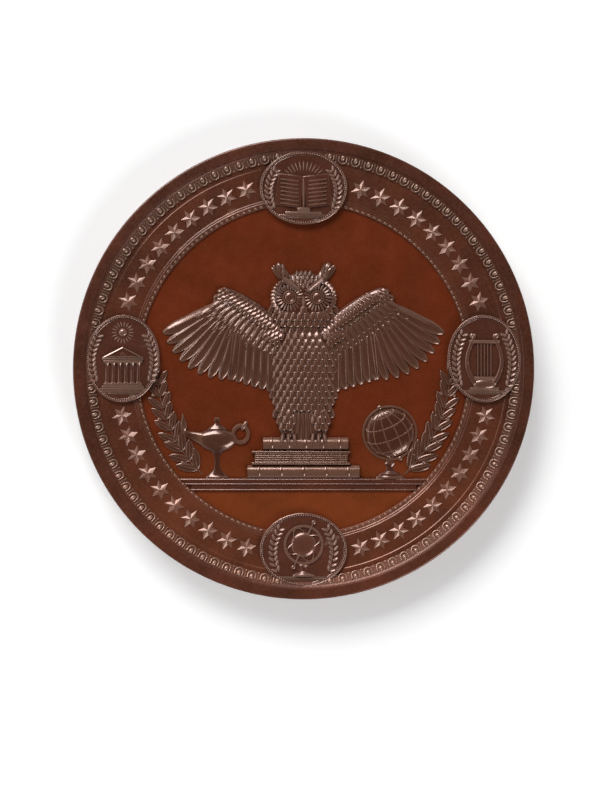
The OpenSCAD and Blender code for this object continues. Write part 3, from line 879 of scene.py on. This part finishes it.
def make_wings():
    """Two spread wings: flight feathers, two kinds of coverts and the feathered arm."""
    shoulder = Vector((4.1, NECK_Y - 2.4))
    wrist = Vector((12.9, NECK_Y + 3.6))
    reach = wrist - shoulder
    off_the_arm = Vector((-0.56, 0.83))
    outer, inner, coverts = 9, 8, 13
    places = []
    for i in range(outer):
        s = i / (outer - 1)
        root = wrist - Vector((0.9 + s * 1.8, 0.5 + s * 0.9))
        size = (0.93 + 0.07 * math.sin(math.pi * s), 0.92, 1)
        z = FIELD_Z + 0.2 + 0.02 * i
        places.append(at(root.x, root.y, z, turn=-26 - 56 * s, tip=-0.4, roll=-19, size=size))
    for i in range(inner):
        s = (i + 0.6) / inner
        root = wrist - reach * s - Vector((1.2, 1.2))
        size = (0.92 - 0.22 * s, 0.95, 1)
        z = FIELD_Z + 0.3 + 0.02 * i
        places.append(at(root.x, root.y, z, turn=-84 - 8 * s, tip=-0.4, roll=-19, size=size))
    flight = copies(feather_unit(13.6, 2.5, 0.72), both_sides(places), "flight")
    places = []
    for i in range(coverts):
        s = i / (coverts - 1)
        root = wrist - reach * s * 0.98 - Vector((0.2, 0.6))
        size = (1.05 - 0.2 * s, 1, 1)
        turn = -30 - 58 * s ** 0.7
        places.append(at(root.x, root.y, FIELD_Z + 0.72, turn=turn, tip=-2.5, roll=-17, size=size))
    middle = copies(feather_unit(5.6, 1.7, 0.56), both_sides(places), "coverts")
    places = []
    for back, lift in ((1.4, 1.0), (0.6, 1.2)):
        for i in range(coverts):
            s = i / (coverts - 1)
            root = wrist - reach * s * 1.04 - off_the_arm * back
            places.append(at(root.x, root.y, FIELD_Z + lift, turn=-34 - 44 * s, tip=-5, roll=-14))
    small = copies(feather_unit(2.9, 1.3, 0.46), both_sides(places), "small_coverts")
    slope = math.degrees(math.atan2(reach.y, reach.x))
    half_way = (shoulder + wrist) / 2 + Vector((-0.2, 0.7))
    forms = [
        ball(half_way.x, half_way.y, FIELD_Z + 0.1, (6.6, 1.5, 1.3), segments=20, rings=16, turn=slope),
        ball(wrist.x - 0.3, wrist.y - 0.1, FIELD_Z + 0.1, (1.7, 1.5, 1.15), rings=12),
        ball(shoulder.x + 0.6, shoulder.y - 0.8, FIELD_Z, (3.2, 2.3, 1.5), rings=12, turn=slope),
    ]
    arm = outward(cut_below(softened(joined(forms, "arm"), 0.2, 4), FIELD_Z - 0.1), 60)
    spots = []
    for row, step in staggered(5, 17):
        s = (step + 8) / 16
        spot = shoulder + reach * (1.08 * s - 0.05) + off_the_arm * (1.75 - 0.62 * row)
        spots.append((spot.x, spot.y, -22 - 44 * (1 - s), 1))
    laid = both_sides(laid_on(arm, spots, 5, 0.35))
    on_the_arm = copies(feather_unit(1.5, 0.95, 0.3), laid, "arm_feathers")
    arms = copies(arm, both_sides([Matrix.Identity(4)]), "arms")
    return joined([flight, middle, small, arms, on_the_arm], "owl_wings")


def make_feet():
    """Toes that grip the edge of the top book, each with a claw, and the tail behind them."""
    toes, claws = [], []
    for foot in (-2.5, 2.5):
        for k in (-1, 0, 1):
            x = foot + k * 0.85
            toes.append(at(x, PERCH_Y + 0.75, FIELD_Z + 1.5, turn=-90 + k * 10, tip=-2))
            claws.append(at(x + k * 0.22, PERCH_Y - 0.75, FIELD_Z + 1.52, turn=-90 + k * 6, tip=-14))
    tail = []
    for k in (-2, -1, 1, 2, 0):
        tail.append(at(k * 0.62, PERCH_Y + 5.0, FIELD_Z + 1.25, turn=-90 + k * 3, tip=-3, roll=-6 * k))
    parts = [
        copies(leaf_unit(1.9, 0.72, 0.42), toes, "toes"),
        copies(leaf_unit(0.9, 0.34, 0.26), claws, "claws"),
        copies(feather_unit(6.4, 1.1, 0.4), tail, "tail"),
    ]
    return joined(parts, "owl_feet")


# Lamp, globe and laurel

def set_down(parts, x, name):
    """A piece built over the middle of the ledge, moved along it and cut off under the field."""
    piece = joined(parts, name)
    piece.data.transform(Matrix.Translation((x * MM, 0, 0)))
    return outward(cut_below(piece, FIELD_Z - 0.08), 38)


def make_lamp(x):
    """An oil lamp on a turned foot: spout, flame, ring handle and three fine lines round the bowl."""
    body = [
        (0, 0), (1.9, 0), (1.9, 0.35), (1.5, 0.6), (1.35, 0.8), (0.55, 1.5), (0.4, 2.4), (0.42, 3.4),
        (0.75, 4.1), (0.75, 4.35), (1.2, 4.6), (2.3, 5.1), (3.1, 5.9), (3.35, 6.7), (3.2, 7.2),
        (2.4, 7.75), (1.6, 8.05), (1.65, 8.25), (1.1, 8.6), (0.5, 9.0), (0.35, 9.3), (0.5, 9.7),
        (0.4, 10.1), (0, 10.25),
    ]
    spout = [(0, 0), (1.15, 0), (0.85, 1.4), (0.55, 2.6), (0.5, 3.3), (0.66, 3.8), (0.4, 3.85), (0, 3.6)]
    flame = [(0, 0), (0.42, 0.3), (0.62, 0.9), (0.5, 1.6), (0.26, 2.3), (0.08, 3.0), (0, 3.2)]
    bowl_y = 6.9 - LEDGE_DROP
    parts = [
        turned(body, 32, 0.42, y=-LEDGE_DROP, z=FIELD_Z + 0.05),
        turned(spout, 20, 0.75, x=-2.1, y=bowl_y - 0.4, z=FIELD_Z + 0.15, turn=72),
        turned(flame, 14, 0.8, x=-5.5, y=bowl_y + 0.75, z=FIELD_Z + 0.25, turn=4),
        ring(3.9, bowl_y + 0.5, FIELD_Z + 0.5, 1.25, 0.34, segments=32, size=(1, 1.1, 1)),
        ball(4.5, bowl_y + 1.9, FIELD_Z + 0.5, (0.9, 0.4, 0.45), segments=10, rings=8, turn=60),
    ]
    for height, radius in ((5.55, 2.8), (6.45, 3.36), (7.35, 3.0)):
        y = height - LEDGE_DROP
        parts.append(ring(0, y, FIELD_Z + 0.06, radius, 0.1, minor=6, size=(1, 0.06, 0.42)))
    return set_down(parts, x, "lamp")


def make_globe(x):
    """A globe with its lines, in a ring on a turned stand."""
    radius = 3.95
    flat = 0.36
    lean = 22
    nod = 18
    line_r = 0.11
    middle = 3.65 + radius - LEDGE_DROP
    z = FIELD_Z + 0.05
    upright = Matrix.Rotation(math.radians(90), 4, "X")
    lines = []
    for degrees in (-60, -30, 0, 30, 60):
        across, high = polar(radius, degrees)
        line = ring(0, 0, 0, across, line_r, segments=56, minor=6)
        line.data.transform(Matrix.Translation((0, high * MM, 0)) @ upright)
        lines.append(line)
    for k in range(6):
        line = ring(0, 0, 0, radius, line_r, segments=56, minor=6)
        line.data.transform(Matrix.Rotation(math.radians(15 + k * 30), 4, "Y"))
        lines.append(line)
    lines.append(ball(0, 0, 0, (radius, radius, radius), segments=40, rings=24))
    sphere = joined(lines, "sphere")
    sphere.data.transform(at(0, middle, z, size=(1, 1, flat)) @ at(0, 0, 0, turn=lean, roll=nod))
    stand = [
        (0, 0), (2.4, 0), (2.4, 0.3), (2.0, 0.5), (1.9, 0.75), (0.7, 1.3), (0.5, 2.0), (0.95, 2.5),
        (0.6, 2.9), (0.55, 3.3), (0, 3.3),
    ]
    parts = [
        turned(stand, 32, 0.45, y=-LEDGE_DROP, z=z),
        sphere,
        ring(0, middle, z + 0.1, radius + 0.42, 0.22, segments=64),
    ]
    for end in (1, -1):
        knob_x, knob_y = polar(end * (radius + 0.6), 90 + lean)
        parts.append(ball(knob_x, middle + knob_y, z + 0.25, (0.42, 0.42, 0.42), segments=10, rings=8))
    return set_down(parts, x, "globe")


def make_laurel():
    """A laurel branch on each side, with leaves in pairs, berries and a stem."""
    stem_r = FIELD_R - 3
    leaf_l = 3.5
    pairs = 9
    first = -math.degrees(math.asin((LEDGE_DROP - 1.5) / stem_r))
    step = math.degrees(leaf_l * 0.56 / stem_r)
    leaves, berries, twigs = [], [], []
    for i in range(pairs + 1):
        a = first + i * step
        x, y = polar(stem_r, a)
        ahead = a + 90
        size = 1.06 - 0.03 * i
        twigs.append(at(x, y, FIELD_Z + 0.12, turn=ahead))
        if i == pairs:
            leaves.append(at(x, y, FIELD_Z + 0.12, turn=ahead, tip=3, size=(size, size, 1)))
            continue
        for side in (1, -1):
            turn = ahead + side * (34 + 4 * math.sin(2.4 * i))
            roll = side * 4 + 6 * math.sin(2.1 * i + side)
            tip = 2 + 3 * (side > 0)
            leaves.append(at(x, y, FIELD_Z + 0.16, turn=turn, tip=tip, roll=roll, size=(size, size, 1)))
        if i % 2:
            for away in (-64, 70):
                aside, along = polar(1.2, ahead + away)
                berries.append(at(x + aside, y + along, FIELD_Z + 0.3))
    parts = [
        copies(veined_leaf(leaf_l, 1.3, 0.3), both_sides(leaves), "leaves"),
        copies(ball(0, 0, 0, (0.34, 0.34, 0.34), segments=8, rings=6), both_sides(berries), "berries"),
        copies(ball(0, 0, 0, (1.3, 0.17, 0.2), segments=6, rings=5), both_sides(twigs), "twigs"),
    ]
    return joined(parts, "laurel")


# Finishes

# The tint that darkens hollows: partly the patina lying there, partly painted shade.
HOLLOW_PATINA_AND_SHADE = (0.42, 0.36, 0.34, 1)
HOLLOW_REACH = 0.7
# Painted light: the foot colour lightens the face low down, coming in from the first of these heights on
# the face to the second.
FOOT_LIGHT_FROM = 6 - LEDGE_DROP
FOOT_LIGHT_FULL = -2 - LEDGE_DROP
# Patterns of the patina: how many to the millimetre, their detail and their roughness.
CLOUDS = (0.16, 4, 0.55)
SPECKS = (2.6, 5, 0.55)
SHEEN = (0.5, 6, 0.6)
FINE_GRAIN = (7.0, 6, 0.65)
BROAD_GRAIN = (0.35, 2, 0.55)


def bronze(
    name, deep, mid, high, rough=0.29, metal=0.5, patina_and_shade=0.5, wear=1.0, grain=1.0, coat=0.35,
    coat_rough=0.16, foot=None, shine=0.5, dust=0.12,
):
    """Patinated bronze: clouded between deep and mid, darker in the hollows by patina_and_shade (patina
    there and painted shade), rubbed to high on the edges by wear and in specks by dust, and multiplied
    by the foot colour low on the face, which is painted light."""
    material = bpy.data.materials.new(name)
    material.use_nodes = True
    nodes, links = material.node_tree.nodes, material.node_tree.links
    nodes.clear()

    def node(kind, inputs=(), **settings):
        """A node with its settings, and with a value or a link for each named or numbered input."""
        made = nodes.new(kind)
        for key, value in settings.items():
            setattr(made, key, value)
        for key, value in dict(inputs).items():
            if isinstance(value, bpy.types.NodeSocket):
                links.new(value, made.inputs[key])
            else:
                made.inputs[key].default_value = value
        return made

    coordinates = node("ShaderNodeTexCoord").outputs["Object"]
    per_mm = (1 / MM, 1 / MM, 1 / MM)
    place = node("ShaderNodeMapping", {"Vector": coordinates, "Scale": per_mm}).outputs[0]

    def noise(scale, detail, roughness):
        inputs = {"Vector": place, "Scale": scale, "Detail": detail, "Roughness": roughness}
        return node("ShaderNodeTexNoise", inputs).outputs["Fac"]

    def ramp(source, start, end, low=0.0, top=1.0):
        """Greys from low to top, as the source goes from start to end."""
        made = node("ShaderNodeValToRGB", {0: source})
        for stop, position, value in zip(made.color_ramp.elements, (start, end), (low, top)):
            stop.position = position
            stop.color = (value, value, value, 1)
        return made.outputs[0]

    def mix(kind, factor, a, b):
        inputs = {0: factor, 6: a, 7: b}
        return node("ShaderNodeMix", inputs, data_type="RGBA", blend_type=kind).outputs[2]

    def times(a, b):
        return node("ShaderNodeMath", {0: a, 1: b}, operation="MULTIPLY").outputs[0]

    def bump(height, strength, distance, **below):
        inputs = {"Height": height, "Strength": strength * grain, "Distance": distance * MM, **below}
        return node("ShaderNodeBump", inputs).outputs[0]

    hollow = node("ShaderNodeAmbientOcclusion", {"Distance": HOLLOW_REACH * MM}, samples=8)
    openness = ramp(hollow.outputs["AO"], 0.35, 0.95)
    base = mix("MIX", ramp(noise(*CLOUDS), 0.35, 0.68), (*deep, 1), (*mid, 1))
    # Painted light: the base multiplied by the foot colour low on the face.
    if foot:
        split = node("ShaderNodeSeparateXYZ", {0: place})
        height = {"Value": split.outputs["Y"], "From Min": FOOT_LIGHT_FROM, "From Max": FOOT_LIGHT_FULL}
        base = mix("MULTIPLY", node("ShaderNodeMapRange", height).outputs[0], base, (*foot, 1))
    # Patina and painted shade: the base darkened by the hollow tint wherever the occlusion finds a
    # hollow.
    base = mix("MIX", openness, mix("MULTIPLY", patina_and_shade, base, HOLLOW_PATINA_AND_SHADE), base)
    edges = ramp(node("ShaderNodeNewGeometry").outputs["Pointiness"], 0.505, 0.56)
    base = mix("MIX", times(times(edges, openness), wear), base, (*high, 1))
    specks = ramp(noise(*SPECKS), 0.42, 0.7)
    base = mix("MIX", times(specks, dust), base, (*high, 1))
    fine = bump(noise(*FINE_GRAIN), 0.1, 0.05)
    surface = {
        "Base Color": base,
        "Metallic": metal,
        "Specular IOR Level": shine,
        "Coat Weight": coat,
        "Coat Roughness": coat_rough,
        "Roughness": ramp(noise(*SHEEN), 0.3, 0.75, rough - 0.05, rough + 0.09),
        "Normal": bump(noise(*BROAD_GRAIN), 0.22, 0.12, Normal=fine),
    }
    node("ShaderNodeOutputMaterial", {0: node("ShaderNodeBsdfPrincipled", surface).outputs[0]})
    return material


# The foot colours here are painted light, lightening each finish towards the bottom of the face.
FIELD_BRONZE = bronze(
    "field_bronze", (0.178, 0.031, 0.006), (0.232, 0.037, 0.008), (0.36, 0.11, 0.05),
    wear=0.2, coat=0.1, foot=(1.44, 1.8, 2.05),
)
BORDER_BRONZE = bronze(
    "border_bronze", (0.084, 0.0218, 0.0084), (0.138, 0.034, 0.0132), (0.34, 0.18, 0.12),
    patina_and_shade=0.25, wear=0.3, metal=0.35, foot=(1.4, 1.4, 1.4),
)
RIM_BRONZE = bronze(
    "rim_bronze", (0.072, 0.0198, 0.009), (0.117, 0.03, 0.0144), (0.34, 0.18, 0.12),
    patina_and_shade=0.25, wear=0.0, metal=0.35, foot=(1.32, 1.32, 1.32),
)
SEAT_BRONZE = bronze(
    "seat_bronze", (0.088, 0.029, 0.0155), (0.118, 0.039, 0.021), (0.3, 0.17, 0.12),
    patina_and_shade=0.25, wear=0.0, rough=0.45, metal=0.15, shine=0.25, coat=0.02, foot=(1.4, 1.4, 1.4),
)
MOULDING_BRONZE = bronze(
    "moulding_bronze", (0.11, 0.039, 0.0215), (0.148, 0.053, 0.0302), (0.48, 0.31, 0.235),
    patina_and_shade=0.35, wear=0.5, rough=0.3, coat=0.55, foot=(2.25, 2.25, 2.25),
)
BEAD_BRONZE = bronze(
    "bead_bronze", (0.1, 0.0355, 0.0195), (0.135, 0.048, 0.0275), (0.4, 0.235, 0.17),
    patina_and_shade=0.25, wear=0.3, rough=0.38, coat=0.18, foot=(1.4, 1.4, 1.4),
)
ROUNDEL_BRONZE = bronze(
    "roundel_bronze", (0.106, 0.0285, 0.013), (0.14, 0.038, 0.019), (0.44, 0.27, 0.2),
    patina_and_shade=0.45, wear=0.42, rough=0.2, metal=0.4, shine=1.0, coat=0.7, foot=(1.2, 1.2, 1.2), dust=0.06,
)
RELIEF_BRONZE = bronze(
    "relief_bronze", (0.083, 0.0215, 0.0092), (0.104, 0.027, 0.0125), (0.46, 0.25, 0.165),
    patina_and_shade=0.8, wear=0.32, rough=0.18, metal=0.4, shine=0.8, coat=0.7, coat_rough=0.13, dust=0.04,
)
STAR_BRONZE = bronze(
    "star_bronze", (0.114, 0.038, 0.02), (0.146, 0.048, 0.0255), (0.34, 0.18, 0.13),
    patina_and_shade=0.3, wear=0.3, rough=0.27, metal=0.26, shine=0.42, coat=0.4, coat_rough=0.18, grain=2.2,
    foot=(1.3, 1.3, 1.3),
)
LEDGE_BRONZE = bronze(
    "ledge_bronze", (0.1, 0.0255, 0.0108), (0.138, 0.034, 0.0146), (0.34, 0.18, 0.12),
    patina_and_shade=0.4, wear=0.0, rough=0.28, metal=0.4, shine=0.9, coat=0.6, coat_rough=0.22, grain=0.4,
    dust=0.0,
)
REVERSE_BRONZE = bronze(
    "reverse_bronze", (0.1, 0.028, 0.014), (0.15, 0.036, 0.017), (0.34, 0.16, 0.11), wear=0.0
)
BLANK_FINISHES = (BORDER_BRONZE, FIELD_BRONZE, REVERSE_BRONZE, SEAT_BRONZE, RIM_BRONZE)


def blank_finish(face):
    """The finish of one face of the blank, by its direction and place."""
    radius = math.hypot(face.center.x, face.center.y) / MM
    if face.normal.z < -0.3:
        return REVERSE_BRONZE
    if radius < FIELD_R and face.center.z > FIELD_Z * MM * 0.9:
        return FIELD_BRONZE
    if radius > LIP_R - 0.1:
        return RIM_BRONZE
    return SEAT_BRONZE if radius > MOULDING_IN_R else BORDER_BRONZE


def dress(piece, *materials):
    """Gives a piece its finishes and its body."""
    piece.data.materials.clear()
    for material in materials:
        piece.data.materials.append(material)
    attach(piece, "root")


# The medallion

blank = make_blank()
dress(blank, *BLANK_FINISHES)
for face in blank.data.polygons:
    face.material_index = BLANK_FINISHES.index(blank_finish(face))
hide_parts("medal")

ledge = make_ledge()
owl_body = make_owl_body()
field_relief = [
    ledge,
    make_books(),
    owl_body,
    make_owl_face(),
    make_feathers(owl_body),
    make_wings(),
    make_feet(),
    make_lamp(LAMP_X),
    make_globe(GLOBE_X),
    make_laurel(),
]
for piece in field_relief:
    piece.data.transform(at(0, 0, FIELD_Z, size=(1, 1, RELIEF_SHARE)) @ at(0, 0, -FIELD_Z))
dress(make_stars(), STAR_BRONZE)
dress(make_moulding(), MOULDING_BRONZE)
dress(make_beads(), BEAD_BRONZE)
for k in range(len(ROUNDELS)):
    dress(make_roundel(k), ROUNDEL_BRONZE)
for piece in field_relief:
    dress(piece, LEDGE_BRONZE if piece is ledge else RELIEF_BRONZE)

# Floor, light and camera, with distances in metres

PAPER = {
    "Base Color": (0.9, 0.915, 0.93, 1),
    "Roughness": 0.9,
    "Specular IOR Level": 0.1,
    "Emission Color": (1, 1, 1, 1),
    "Emission Strength": 0.205,
}
FLOOR_SIZE = 2.0
FLOOR_Z = -0.00002
# Each light: its compass angle and height angle over the medallion in degrees, its distance, its
# width and height, its power in watts and its tint.
LIGHTS = {
    "key": (114, 41, 1.0, 0.58, 0.44, 8.3, (1, 0.985, 0.965)),
    "counter": (306, 40, 0.7, 0.3, 0.3, 1.9, (1, 0.98, 0.96)),
    "side": (166, 30, 1.0, 0.9, 0.5, 1.7, (1, 0.99, 0.98)),
}
# The sky's grey at two heights, from the horizon at 0 to straight up at 1, and its strength.
SKY = ((0.35, 0.34), (0.66, 0.04))
SKY_STRENGTH = 1.42

# The picture, in its own pixels: its size, and the middle and radius of the medallion in it.
PICTURE_W, PICTURE_H = 600, 800
DISC_X, DISC_Y = 303.55, 368.72
DISC_R = 230.9
LENS = 100
SENSOR_H = 36

sheet = added(bpy.ops.mesh.primitive_plane_add, size=FLOOR_SIZE, location=(0, 0, FLOOR_Z))
floor = joined([sheet], "floor")
paper = bpy.data.materials.new("paper")
paper.use_nodes = True
for key, value in PAPER.items():
    paper.node_tree.nodes["Principled BSDF"].inputs[key].default_value = value
floor.data.materials.append(paper)

for name, (compass, over, reach, width, height, power, tint) in LIGHTS.items():
    data = bpy.data.lights.new(name, "AREA")
    data.shape = "RECTANGLE"
    data.size = width
    data.size_y = height
    data.energy = power
    data.color = tint
    light = bpy.data.objects.new(name, data)
    bpy.context.collection.objects.link(light)
    flat, high = polar(reach, over)
    light.location = (*polar(flat, compass), high)
    light.rotation_euler = (-light.location).to_track_quat("-Z", "Y").to_euler()

world = bpy.data.worlds.new("studio")
bpy.context.scene.world = world
world.use_nodes = True
sky_nodes, sky_links = world.node_tree.nodes, world.node_tree.links
around = sky_nodes.new("ShaderNodeTexCoord")
split = sky_nodes.new("ShaderNodeSeparateXYZ")
sky = sky_nodes.new("ShaderNodeValToRGB")
for stop, (position, grey) in zip(sky.color_ramp.elements, SKY):
    stop.position = position
    stop.color = (grey, grey, grey, 1)
sky_links.new(around.outputs["Generated"], split.inputs[0])
sky_links.new(split.outputs["Z"], sky.inputs[0])
sky_links.new(sky.outputs[0], sky_nodes["Background"].inputs[0])
sky_nodes["Background"].inputs[1].default_value = SKY_STRENGTH

pixel = MEDAL_R / DISC_R * MM
camera_data = bpy.data.cameras.new("camera")
camera_data.lens = LENS
camera_data.sensor_fit = "VERTICAL"
camera_data.sensor_height = SENSOR_H
camera = bpy.data.objects.new("camera", camera_data)
bpy.context.collection.objects.link(camera)
camera.location = (
    (PICTURE_W / 2 - DISC_X) * pixel,
    (DISC_Y - PICTURE_H / 2) * pixel,
    RIM_T * MM + PICTURE_H * pixel * LENS / SENSOR_H,
)
bpy.context.scene.camera = camera
bpy.context.scene.view_settings.view_transform = "Standard"
